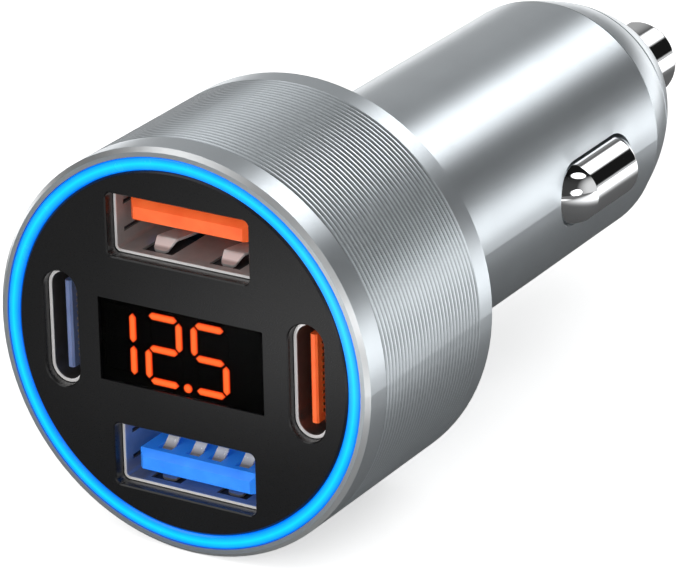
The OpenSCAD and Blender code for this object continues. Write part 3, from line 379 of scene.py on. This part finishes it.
# Brass terminals
# Blanked from rolled strip. They lie under the springs and are soldered to the main board.
# The rolling leaves faint lines along the strip, and the metal has dulled in spots.
brass, tree, shader = new_finish("rolled_brass_strip", Metallic=1.0)
rolling = grain(tree, 0.06, (1, 30, 1))
dulling = grain(tree, 1.4)
feed(
    tree, shader,
    Base_Color=shades(tree, dulling, (0.35, 0.62, 0.42, 0.15), (0.7, 0.74, 0.55, 0.24)),
    Roughness=spread(tree, rolling, 0.24, 0.4),
)
relief(tree, shader, rolling, 0.002)
dress(brass, "tip_terminal", "ground_terminal_right", "ground_terminal_left")

# Contact carrier and port frame
# Moulded in a dark glass-filled plastic. The carrier guides the side contacts and holds the tip spring,
# and the frame holds the port board's posts behind the face. Both keep the mould's fine spark texture.
dark_moulding, tree, shader = new_finish("dark_glass_filled_moulding", IOR=1.5)
spark = grain(tree, 0.12, detail=5.0)
fibres = grain(tree, 0.5, (1, 6, 1))
feed(
    tree, shader,
    Base_Color=shades(tree, fibres, (0.35, 0.016, 0.016, 0.018), (0.7, 0.030, 0.030, 0.033)),
    Roughness=spread(tree, spark, 0.45, 0.62),
)
relief(tree, shader, spark, 0.012)
dress(dark_moulding, "contact_carrier", "port_frame")

# Circuit boards
# Glass-fibre boards with copper tracks under green solder mask. The main board runs down the barrel,
# and the round port board carries the ports, the readout and the light diodes.
board, tree, shader = new_finish("green_solder_mask", IOR=1.5, Coat_Weight=0.4, Coat_Roughness=0.2)
track_scale, track_edge = (480, 480, 480), (0.72, 0.76)
tracks = add(
    tree, "TexVoronoi", {"Vector": scaled(tree, track_scale), "Randomness": 0.55},
    distance="CHEBYCHEV", feature="F2",
).outputs[0]
copper = spread(tree, tracks, 0.0, 1.0, *track_edge)
weave = grain(tree, 0.25)
feed(
    tree, shader,
    Base_Color=shades(tree, copper, (0.0, 0.008, 0.085, 0.030), (1.0, 0.020, 0.160, 0.055)),
    Roughness=spread(tree, weave, 0.3, 0.42),
)
relief(tree, shader, copper, 0.02)
dress(board, "main_board", "port_board")

# Power inductor
# Pressed from ferrite powder round its winding, so it is a dull grey block with a speckled skin.
# It is soldered flat to the main board.
ferrite, tree, shader = new_finish("pressed_ferrite", IOR=1.6)
speckle = grain(tree, 0.2, detail=6.0)
feed(
    tree, shader,
    Base_Color=shades(tree, speckle, (0.3, 0.030, 0.031, 0.034), (0.75, 0.075, 0.076, 0.080)),
    Roughness=spread(tree, speckle, 0.5, 0.7),
)
relief(tree, shader, speckle, 0.02)
dress(ferrite, "inductor")

# Capacitors
# Aluminium cans in a shrunk dark sleeve, with a crimped neck and a pale stripe on the minus side.
# They lie on both faces of the main board.
stripe_start, stripe_end = 0.44, 0.45
for node in ("input_capacitor", "output_capacitor"):
    low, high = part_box(node)
    width = high.x - low.x
    sleeve, tree, shader = new_finish(node + "_sleeve", IOR=1.52)
    sideways = maths(tree, "SUBTRACT", own_xyz(tree)["X"], (low.x + high.x) / 2)
    stripe = spread(tree, sideways, 0.0, 1.0, width * stripe_start, width * stripe_end)
    shrink = grain(tree, 0.8)
    feed(
        tree, shader,
        Base_Color=shades(tree, stripe, (0.0, 0.010, 0.012, 0.018), (1.0, 0.32, 0.34, 0.36)),
        Roughness=spread(tree, shrink, 0.22, 0.36),
    )
    relief(tree, shader, shrink, 0.01)
    dress(sleeve, node)

# Chips
# Each is a black epoxy moulding on a tinned lead frame, whose legs stand out at both sides of the body
# and are soldered to the board.
half_widths = {"power_chip_large": 2.5, "power_chip_small": 2.0, "port_chip": 1.7}
just_outside = 0.002
for node, half_width in half_widths.items():
    low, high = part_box(node)
    chip, tree, shader = new_finish(node + "_moulding", IOR=1.55)
    sideways = maths(tree, "SUBTRACT", own_xyz(tree)["X"], (low.x + high.x) / 2)
    off_middle = maths(tree, "ABSOLUTE", sideways)
    tinned = maths(tree, "GREATER_THAN", off_middle, (half_width + just_outside) * MM)
    epoxy = grain(tree, 0.08, detail=5.0)
    feed(
        tree, shader,
        Base_Color=shades(tree, tinned, (0.0, 0.012, 0.012, 0.013), (1.0, 0.62, 0.62, 0.61)),
        Metallic=tinned,
        Roughness=spread(tree, epoxy, 0.38, 0.55),
    )
    relief(tree, shader, epoxy, 0.006)
    dress(chip, node)

# Board screws
# Four small self-tapping steel screws with a cross recess, zinc plated.
# They hold the port board to the frame's posts.
zinc, tree, shader = new_finish("zinc_plated_steel", Metallic=1.0)
plating = grain(tree, 0.18)
feed(
    tree, shader,
    Base_Color=shades(tree, plating, (0.3, 0.44, 0.45, 0.47), (0.7, 0.60, 0.61, 0.62)),
    Roughness=spread(tree, plating, 0.24, 0.42),
)
relief(tree, shader, plating, 0.003)
dress(zinc, "board_screws")

# Light diodes
# Eight small blue diodes stand on the port board behind the light guide. Each has a white body
# with a clear window at its front, which glows.
diode, tree, shader = new_finish("blue_light_diode", IOR=1.5)
diode_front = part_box("blue_led_1")[0].y
window_back, window_edge = diode_front + 0.15 * MM, 0.06 * MM
window_share = spread(tree, own_xyz(tree)["Y"], 1.0, 0.0, window_back, window_back + window_edge)
resin = grain(tree, 0.1)
feed(
    tree, shader,
    Base_Color=shades(tree, window_share, (0.0, 0.62, 0.62, 0.60), (1.0, 0.05, 0.35, 0.9)),
    Emission_Strength=spread(tree, window_share, 0.0, 3.0, 0.0, 1.0),
    Roughness=spread(tree, resin, 0.25, 0.4),
)
shader.inputs["Emission Color"].default_value = (0.03, 0.33, 1.0, 1)
relief(tree, shader, resin, 0.003)
dress(diode, *[f"blue_led_{i}" for i in range(1, 9)])

# Glowing ring
# A ring moulded in clear acrylic with a light guide behind it. It carries the diodes' blue light to its
# front band, which is brightest along its middle and deeper blue towards its edges.
ring_inner, ring_outer = 14.7, 15.75
glow, tree, shader = new_finish(
    "lit_acrylic_ring", IOR=1.49, Specular_IOR_Level=0.4, Emission_Strength=1.0,
)
across_band = spread(tree, off_axis(tree), 0.0, 1.0, ring_inner * MM, ring_outer * MM)
band = shades(
    tree, across_band,
    (0.0, 0.0, 0.10, 0.62), (0.25, 0.0, 0.32, 0.93), (0.52, 0.0, 0.62, 1.0), (0.78, 0.0, 0.30, 0.90),
    (1.0, 0.0, 0.08, 0.50),
)
haze = grain(tree, 1.5)
feed(
    tree, shader,
    Emission_Color=band,
    Base_Color=shades(tree, haze, (0.0, 0.0, 0.10, 0.40), (1.0, 0.0, 0.16, 0.50)),
    Roughness=spread(tree, haze, 0.18, 0.28),
)
relief(tree, shader, haze, 0.004)
dress(glow, "light_ring")

# Face plate
# A disc moulded in black plastic with a satin front. Its holes for the ports and the readout
# have a small chamfer, which catches the light.
plate, tree, shader = new_finish("black_satin_face", IOR=1.5)
satin = grain(tree, 0.1, detail=4.0)
waves = grain(tree, 9.0)
feed(
    tree, shader,
    Base_Color=shades(tree, waves, (0.3, 0.0035, 0.0035, 0.0038), (0.7, 0.0050, 0.0050, 0.0053)),
    Roughness=spread(tree, satin, 0.26, 0.34),
)
relief(tree, shader, satin, 0.0015)
dress(plate, "face_plate")

# Readout
# A black module with three seven-bar digits behind a dark clear pane. The lit bars glow orange,
# redder towards their edges, and the other bars stay dark.
pane, tree, shader = new_finish("dark_clear_pane", IOR=1.08, Transmission_Weight=1.0, Roughness=0.02)
pane_haze = grain(tree, 4.0)
feed(tree, shader, Base_Color=shades(tree, pane_haze, (0.0, 0.50, 0.50, 0.51), (1.0, 0.56, 0.56, 0.57)))
dress(pane, "display_window")
module_black, tree, shader = new_finish("black_display_body", IOR=1.3, Specular_IOR_Level=0.05)
body_grain = grain(tree, 0.12)
feed(
    tree, shader,
    Base_Color=shades(tree, body_grain, (0.3, 0.0004, 0.0004, 0.0005), (0.7, 0.0008, 0.0008, 0.0009)),
    Roughness=spread(tree, body_grain, 0.55, 0.7),
)
relief(tree, shader, body_grain, 0.003)
dress(module_black, "display_module")
dark_bars, tree, shader = new_finish("unlit_bars", IOR=1.3, Specular_IOR_Level=0.05)
bar_grain = grain(tree, 0.2)
feed(
    tree, shader,
    Base_Color=shades(tree, bar_grain, (0.3, 0.0009, 0.0006, 0.0006), (0.7, 0.0014, 0.0009, 0.0009)),
    Roughness=spread(tree, bar_grain, 0.55, 0.7),
)
relief(tree, shader, bar_grain, 0.002)
dress(dark_bars, "dark_segments")

bar_half, bar_gap = 0.275, 0.3
digit_width, digit_height, digit_pitch = 2.8, 5.34, 4.15
digit_middle, digit_level = -1.75, -0.12
dot_radius, dot_corners, core_inset = 0.36, 24, 0.16
bars_front, bars_back = (v.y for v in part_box("lit_segments"))
bars = {
    "a": (0, 1, True), "b": (0.5, 0.5, False), "c": (0.5, -0.5, False), "d": (0, -1, True),
    "e": (-0.5, -0.5, False), "f": (-0.5, 0.5, False), "g": (0, 0, True),
}
bm = bmesh.new()
core = bm.verts.layers.float.new("core")


def lit_outline(points):
    """A raised bar over a closed outline of (x, z) in mm, whose inset top is its bright core."""
    verts = [bm.verts.new((x * MM, bars_front, z * MM)) for x, z in points]
    top = bm.faces.new(verts)
    top.normal_update()
    if top.normal.y > 0:
        top.normal_flip()
    foot = verts_of(bmesh.ops.extrude_face_region(bm, geom=[top])["geom"])
    bmesh.ops.translate(bm, verts=foot, vec=(0, bars_back - bars_front, 0))
    front = [face for face in bm.faces if set(face.verts) <= set(verts)]
    bmesh.ops.inset_region(bm, faces=front, thickness=core_inset * MM, depth=0)


for column, shown in enumerate(("bc", "abged", "afgcd"), start=-1):
    for name in shown:
        across_share, up_share, level = bars[name]
        x = digit_middle + column * digit_pitch + across_share * digit_width
        z = digit_level + up_share * digit_height / 2
        tip = ((digit_width if level else digit_height / 2) - bar_gap) / 2
        shoulder = tip - bar_half
        outline = (
            (-tip, 0), (-shoulder, -bar_half), (shoulder, -bar_half), (tip, 0),
            (shoulder, bar_half), (-shoulder, bar_half),
        )
        lit_outline([(x + u, z + v) if level else (x - v, z + u) for u, v in outline])
dot_x, dot_z = digit_middle + digit_pitch / 2, digit_level - digit_height / 2
angles = [2 * math.pi * i / dot_corners for i in range(dot_corners)]
lit_outline([(dot_x + math.cos(a) * dot_radius, dot_z + math.sin(a) * dot_radius) for a in angles])
bmesh.ops.recalc_face_normals(bm, faces=bm.faces)
for vert in bm.verts:
    rim = any(abs(face.normal.y) < 0.5 for face in vert.link_faces)
    vert[core] = 0.0 if rim else 1.0
lit_bars = object_of("lit_bars", bm)
lit, tree, shader = new_finish(
    "lit_orange_bars", IOR=1.4, Specular_IOR_Level=0.2, Base_Color=(0.5, 0.06, 0.01, 1),
    Emission_Strength=2.0,
)
heat = add(tree, "Attribute", attribute_name="core").outputs["Fac"]
feed(
    tree, shader,
    Emission_Color=shades(
        tree, heat, (0.0, 0.75, 0.035, 0.004), (0.5, 1.0, 0.10, 0.010), (1.0, 1.0, 0.17, 0.035),
    ),
    Roughness=spread(tree, grain(tree, 0.2), 0.4, 0.5),
)
lit_bars.data.materials.append(lit)
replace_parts(lit_bars, "lit_segments")
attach(lit_bars, "plug")

# Port shells
# Folded from thin nickel-plated steel sheet, with spring tabs cut free in one wall of the wide ports.
# The small ports' shells are drawn to a rounded slot.
# The shells' front edges and the wide ports' tabs get a painted highlight in near-white sheet.
painted_edge_highlight, wall_clear = (0.03, 0.12), (0.8, 0.7)
tab_foot, tab_crown = (0.35, 0.5), (1.6, 1.7)


def port_sheet(name, metallic, shade, *ports):
    """The sheet's finish with a painted highlight at its front edge and tabs. shade is its painted shade.
    """
    finish, tree, shader = new_finish(name, Roughness=0.3)
    low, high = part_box(ports[0])
    xyz = own_xyz(tree)
    inside = spread(tree, xyz["Y"], 0.0, 1.0, *(low.y + c * MM for c in painted_edge_highlight))
    if high.x - low.x > high.z - low.z:
        over_foot = spread(tree, xyz["Z"], 0.0, 1.0, *(low.z + c * MM for c in tab_foot))
        under_crown = spread(tree, xyz["Z"], 1.0, 0.0, *(low.z + c * MM for c in tab_crown))
        off_middle = maths(tree, "ABSOLUTE", xyz["X"])
        off_walls = spread(tree, off_middle, 1.0, 0.0, *(high.x - c * MM for c in wall_clear))
        tab_painted_highlight = maths(tree, "MULTIPLY", maths(tree, "MULTIPLY", over_foot, under_crown), off_walls)
        # The tabs are taken out of the inside, so that they keep the painted highlight.
        inside = maths(tree, "SUBTRACT", inside, tab_painted_highlight, use_clamp=True)
    nickel = Vector((1.0, 0.94, 0.92)) * shade
    sheet = shades(tree, grain(tree, 0.8), (0.3, *(nickel * 0.94)), (0.7, *(nickel * 1.04)))
    feed(
        tree, shader,
        # Painted highlight: the front edge and the tabs are near-white and half metallic.
        Base_Color=mixed(tree, inside, (0.97, 0.95, 0.94, 1), sheet),
        Metallic=spread(tree, inside, 0.5, metallic, 0.0, 1.0),
    )
    dress(finish, *ports)


# Each port has its own copy of the same sheet, made lighter or darker by shade: painted shade.
port_sheet("upper_port_sheet_painted_shade", 0.6, 0.48, "upper_port_shell")
port_sheet("lower_port_sheet_painted_shade", 0.9, 0.66, "lower_port_shell")
port_sheet("small_port_sheet_painted_shade", 0.95, 0.36, "left_port_shell", "right_port_shell")

# Port tongues
# Moulded in coloured nylon: orange in the upper and right ports, blue in the lower one, slate in the
# left one. The mould leaves a fine satin skin, and the plastic lets a little light in.


def tongue_plastic(name, dark, light, lit=0.0):
    """A coloured nylon. lit is how strongly it glows in its light colour, which is painted light."""
    finish, tree, shader = new_finish(
        name, IOR=1.5, Subsurface_Weight=0.15, Subsurface_Scale=0.0006,
        Emission_Color=(*light, 1), Emission_Strength=lit,
    )
    skin = grain(tree, 0.15)
    tint = grain(tree, 1.6)
    feed(
        tree, shader,
        Base_Color=shades(tree, tint, (0.3, *dark), (0.7, *light)),
        Roughness=spread(tree, skin, 0.32, 0.44),
    )
    relief(tree, shader, skin, 0.004)
    return finish


orange = tongue_plastic("orange_nylon", (0.93, 0.12, 0.022), (1.0, 0.16, 0.035))
# The blue tongue glows with painted light, which tints the lower port round it blue.
blue = tongue_plastic("blue_nylon_painted_glow", (0.015, 0.21, 0.88), (0.030, 0.27, 0.98), 0.12)
slate = tongue_plastic("slate_nylon", (0.10, 0.14, 0.28), (0.14, 0.18, 0.34))
dress(orange, "upper_port_tongue", "right_port_tongue")
dress(blue, "lower_port_tongue")
dress(slate, "left_port_tongue")

# Port contacts
# Bowed strips of plated copper alloy in the wide ports, and flat gold-plated pads on the small ports'
# tongues. Each strip has a painted highlight at its tip and along its bow, and painted shade between.
bow_length = 2.2
for node in ("upper_port_contacts", "lower_port_contacts"):
    tip_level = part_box(node)[0].y
    strip, tree, shader = new_finish(node + "_plating_painted_highlights", Metallic=0.35)
    along_bow = spread(tree, own_xyz(tree)["Y"], 0.0, 1.0, tip_level, tip_level + bow_length * MM)
    strip_lines = grain(tree, 0.2, (1, 20, 1))
    feed(
        tree, shader,
        # Painted highlight at the tip and on the bow, painted shade between them.
        Base_Color=shades(
            tree, along_bow, (0.0, 0.95, 0.94, 0.93), (0.22, 0.30, 0.27, 0.24),
            (0.5, 0.98, 0.97, 0.95), (0.85, 0.40, 0.38, 0.37),
        ),
        Roughness=spread(tree, strip_lines, 0.2, 0.28),
    )
    dress(strip, node)
gold, tree, shader = new_finish("gold_plated_pads", Metallic=1.0)
pad_grain = grain(tree, 0.06)
feed(
    tree, shader,
    Base_Color=shades(tree, pad_grain, (0.3, 0.80, 0.56, 0.22), (0.7, 0.92, 0.68, 0.32)),
    Roughness=spread(tree, pad_grain, 0.2, 0.34),
)
relief(tree, shader, pad_grain, 0.001)
dress(gold, "left_port_pads", "right_port_pads")

# Floor
# A wide white sheet under the head. Only the metal's reflections see a dark patch of painted shade on it
# below the plug, with two pale windows of painted reflection that the face and its bright edge show. The
# sheet is white to the camera and further off in the metal, and it keeps the object's soft shadow.
floor_height, floor_radius, paper_glow = -0.0166, 6.0, 0.54
shade_patch_middle, shade_patch_half = Vector((-0.030, 0.020, floor_height)), Vector((0.070, 0.115, 1))
shade_patch_edge, shade_patch_front = (0.85, 1.35), (-0.03, 0.02)
window_core = 0.002
painted_reflection_windows = ((-0.012, -0.064, 0.026), (0.058, -0.046, 0.030))
bm = bmesh.new()
bmesh.ops.create_circle(
    bm, segments=96, radius=floor_radius, cap_ends=True, matrix=Matrix.Translation((0, 0, floor_height)),
)
floor = object_of("floor", bm)
paper, tree, shader = new_finish(
    "white_paper", Roughness=0.9, Specular_IOR_Level=0.1, Emission_Color=(1, 1, 1, 1),
)
path = add(tree, "LightPath").outputs
place = own_place(tree)
# A dark patch of painted shade, seen only in reflections, stands in for the plug's shadow on the sheet.
on_shade_patch = vector_maths(tree, "DIVIDE", vector_maths(tree, "SUBTRACT", place, shade_patch_middle), shade_patch_half)
far_off = spread(tree, vector_maths(tree, "LENGTH", on_shade_patch), 0.0, 1.0, *shade_patch_edge, soft=True)
behind = spread(tree, own_xyz(tree)["Y"], 0.0, 1.0, *shade_patch_front)
painted_shade_patch = maths(tree, "SUBTRACT", 1.0, maths(tree, "MULTIPLY", far_off, behind))
# Pale windows in the patch are painted reflections for the face and its bright edge.
for window_x, window_y, reach in painted_reflection_windows:
    off_window = vector_maths(tree, "DISTANCE", place, (window_x, window_y, floor_height))
    window = spread(tree, off_window, 1.0, 0.0, window_core, reach, soft=True)
    painted_shade_patch = maths(tree, "SUBTRACT", painted_shade_patch, window, use_clamp=True)
painted_shade_patch = maths(tree, "MULTIPLY", painted_shade_patch, path["Is Glossy Ray"])
seen = maths(tree, "MAXIMUM", path["Is Camera Ray"], path["Is Transmission Ray"])
seen = maths(tree, "MAXIMUM", maths(tree, "MULTIPLY", seen, paper_glow), path["Is Glossy Ray"])
feed(
    tree, shader,
    Base_Color=shades(tree, painted_shade_patch, (0.0, 0.92, 0.92, 0.92), (1.0, 0.16, 0.16, 0.16)),
    Emission_Strength=maths(tree, "SUBTRACT", seen, painted_shade_patch),
)
floor.data.materials.append(paper)

# Lamps
# Softboxes in a dark studio: one above the face, a large one before it and a small one on its right.
# The studio's lit walls and its pale horizon are in the world, and the metal shows them as streaks.
lamp_target = Vector((0, 0.015, 0))


def softbox(name, direction, distance, width, height, radiance, shape="RECTANGLE"):
    """An area lamp that looks at the object. radiance is its brightness as the metal shows it."""
    data = bpy.data.lights.new(name, "AREA")
    data.shape = shape
    data.size = width
    data.size_y = height
    data.energy = radiance * math.pi * width * height
    made = bpy.data.objects.new(name, data)
    bpy.context.scene.collection.objects.link(made)
    towards = Vector(direction).normalized()
    made.location = lamp_target + towards * distance
    made.rotation_mode = "QUATERNION"
    made.rotation_quaternion = towards.to_track_quat("Z", "Y")
    made.visible_camera = False


softbox("key_box", (-0.45, -0.68, 0.58), 0.55, 0.42, 0.42, 1.6)
softbox("front_box", (0.20, -0.93, 0.20), 0.70, 0.50, 0.50, 4.0)
softbox("side_box", (0.86, -0.50, 0.12), 0.60, 0.20, 0.20, 2.2, "ELLIPSE")

world = bpy.data.worlds.new("studio")
bpy.context.scene.world = world
world.use_nodes = True
tree = world.node_tree
background = tree.nodes["Background"]
path = add(tree, "LightPath").outputs
way = add(tree, "TexCoord").outputs["Generated"]
way_xyz = add(tree, "SeparateXYZ", {0: way}).outputs
pale_band, dark_wall, room_fill = 0.6, 0.01, 0.45
horizon_top, horizon_front = (0.045, 0.095), (-0.25, 0.1)
horizon = spread(tree, way_xyz["Z"], pale_band, dark_wall, *horizon_top, soft=True)
horizon = maths(tree, "MULTIPLY", horizon, spread(tree, way_xyz["Y"], 0.01, 1.0, *horizon_front))
level = maths(tree, "MAXIMUM", horizon, spread(tree, path["Is Diffuse Ray"], 0.0, room_fill, 0.0, 1.0))
glows = (
    ((-0.559, 0.787, 0.261), 38, 4, 0.42),
    ((0.149, 0.787, 0.599), 16, 4, 2.9),
    ((0.97, 0.15, 0.15), 42, 15, 0.78),
    ((0.50, 0.0, 0.86), 14, 11, 2.5),
    ((0.50, -0.86, 0.10), 75, 30, 0.05),
)
for middle, rim_angle, core_angle, strength in glows:
    near = vector_maths(tree, "DOT_PRODUCT", way, Vector(middle).normalized())
    rim, core = math.cos(math.radians(rim_angle)), math.cos(math.radians(core_angle))
    level = maths(tree, "MAXIMUM", level, spread(tree, near, 0.0, strength, rim, core, soft=True))
level = maths(tree, "MAXIMUM", level, path["Is Camera Ray"])
tree.links.new(level, background.inputs["Strength"])
background.inputs["Color"].default_value = (1, 1, 1, 1)

bpy.context.scene.view_settings.view_transform = "Standard"
